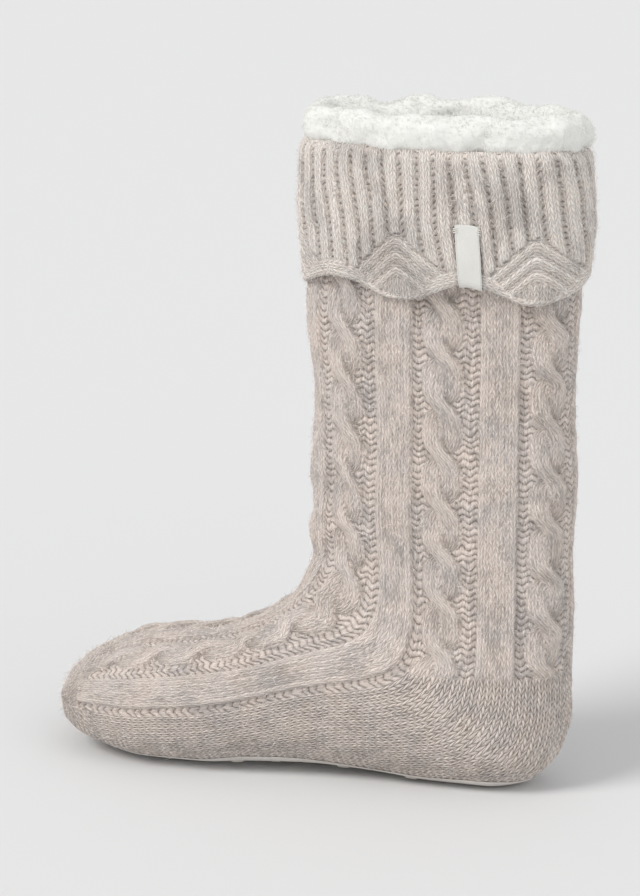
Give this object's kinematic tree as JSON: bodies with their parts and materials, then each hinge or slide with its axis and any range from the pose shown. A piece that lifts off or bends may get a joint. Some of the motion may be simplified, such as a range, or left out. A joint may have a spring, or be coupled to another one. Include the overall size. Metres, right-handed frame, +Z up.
{
  "type": "slipper sock",
  "caption": "Tall cable-knit slipper sock with a turned-down scalloped cuff, a white sherpa lining that rolls out at the collar, and a studded gripping tread.",
  "frame": {"origin": "bottom centre of the sock's box, on the plane that its tread stands on", "axes": "+Z up the leg, -X towards the toe, +X towards the heel, -Y the side with the label"},
  "size_m": [0.2437, 0.0887, 0.3006],
  "materials": {
    "heathered_yarn": "brushed heathered knit in pinkish cream with cool grey flecks",
    "cuff_yarn": "the same yarn in ribs, chevrons and smooth lobes",
    "sherpa": "white curly pile",
    "grip": "thin printed film with round studs",
    "woven_label": "fine woven ribbon, bare"
  },
  "bodies": {
    "root": {"knit_upper": "heathered_yarn", "turned_cuff": "cuff_yarn", "sherpa_lining": "sherpa", "grip_tread": "grip", "side_label": "woven_label"}
  },
  "joints": []
}
